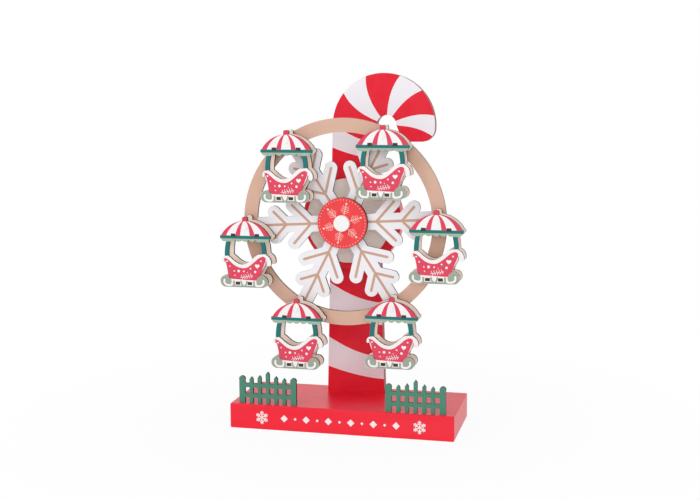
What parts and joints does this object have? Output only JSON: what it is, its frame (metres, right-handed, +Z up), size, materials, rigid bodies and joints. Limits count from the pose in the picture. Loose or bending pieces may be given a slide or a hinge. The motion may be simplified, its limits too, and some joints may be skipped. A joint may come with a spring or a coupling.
{
  "type": "hand cranked ferris wheel toy",
  "caption": "Painted wooden table-top ferris wheel with sleigh gondolas, a snowflake wheel, a striped cane post, picket fences and a rear hand crank.",
  "frame": {"origin": "centre of the base block's underside", "axes": "+X to the right along the base, +Y from the wheel's side to the crank's side, +Z up"},
  "size_m": [0.2354, 0.1094, 0.3426],
  "materials": {
    "red_paint": "gloss red lacquer on wood",
    "striped_paint": "red and white painted wood",
    "white_paint": "white painted plywood with a tan rim",
    "hub_red": "printed red disc",
    "knob_white": "white painted dowel head",
    "green_paint": "green painted plywood",
    "bare_wood": "bare beech",
    "gondola_print": "printed plywood",
    "plywood": "bare plywood edges",
    "steel": "zinc plated"
  },
  "bodies": {
    "stand": {"base_block": "red_paint", "cane_post": "striped_paint", "post_screws": "steel", "left_fence": "green_paint", "right_fence": "green_paint", "drum": "red_paint", "drum_spacer": "bare_wood", "bearing_disc": "bare_wood"},
    "wheel": {"wheel_plate": "white_paint", "hub_spacer": "bare_wood", "hub_cap": "hub_red", "axle": "knob_white", "gondola_pins": "bare_wood", "crank_arm": "red_paint", "handle_screw": "steel"},
    "handle": {"crank_handle": "bare_wood"},
    "gondola_1": {"gondola_1_front": "gondola_print", "gondola_1_back": "gondola_print", "gondola_1_roof": "plywood", "gondola_1_floor": "plywood"},
    "gondola_2": {"gondola_2_front": "gondola_print", "gondola_2_back": "gondola_print", "gondola_2_roof": "plywood", "gondola_2_floor": "plywood"},
    "gondola_3": {"gondola_3_front": "gondola_print", "gondola_3_back": "gondola_print", "gondola_3_roof": "plywood", "gondola_3_floor": "plywood"},
    "gondola_4": {"gondola_4_front": "gondola_print", "gondola_4_back": "gondola_print", "gondola_4_roof": "plywood", "gondola_4_floor": "plywood"},
    "gondola_5": {"gondola_5_front": "gondola_print", "gondola_5_back": "gondola_print", "gondola_5_roof": "plywood", "gondola_5_floor": "plywood"},
    "gondola_6": {"gondola_6_front": "gondola_print", "gondola_6_back": "gondola_print", "gondola_6_roof": "plywood", "gondola_6_floor": "plywood"}
  },
  "joints": [
    {"name": "wheel_turn", "type": "hinge", "parent": "stand", "child": "wheel", "pos_m": [0, 0, 0.2015], "axis": [0, 1, 0], "continuous": true},
    {"name": "handle_spin", "type": "hinge", "parent": "wheel", "child": "handle", "pos_m": [0, 0.05, 0.1615], "axis": [0, 1, 0], "continuous": true},
    {"name": "gondola_1_swing", "type": "hinge", "parent": "wheel", "child": "gondola_1", "pos_m": [0.09197, -0.035, 0.20632], "axis": [0, 1, 0], "continuous": true},
    {"name": "gondola_2_swing", "type": "hinge", "parent": "wheel", "child": "gondola_2", "pos_m": [0.04181, -0.035, 0.28356], "axis": [0, 1, 0], "continuous": true},
    {"name": "gondola_3_swing", "type": "hinge", "parent": "wheel", "child": "gondola_3", "pos_m": [-0.05016, -0.035, 0.27874], "axis": [0, 1, 0], "continuous": true},
    {"name": "gondola_4_swing", "type": "hinge", "parent": "wheel", "child": "gondola_4", "pos_m": [-0.09197, -0.035, 0.19668], "axis": [0, 1, 0], "continuous": true},
    {"name": "gondola_5_swing", "type": "hinge", "parent": "wheel", "child": "gondola_5", "pos_m": [-0.04181, -0.035, 0.11944], "axis": [0, 1, 0], "continuous": true},
    {"name": "gondola_6_swing", "type": "hinge", "parent": "wheel", "child": "gondola_6", "pos_m": [0.05016, -0.035, 0.12426], "axis": [0, 1, 0], "continuous": true}
  ],
  "couplings": [
    {"joint": "gondola_1_swing", "follows": "wheel_turn", "ratio": -1},
    {"joint": "gondola_2_swing", "follows": "wheel_turn", "ratio": -1},
    {"joint": "gondola_3_swing", "follows": "wheel_turn", "ratio": -1},
    {"joint": "gondola_4_swing", "follows": "wheel_turn", "ratio": -1},
    {"joint": "gondola_5_swing", "follows": "wheel_turn", "ratio": -1},
    {"joint": "gondola_6_swing", "follows": "wheel_turn", "ratio": -1}
  ]
}
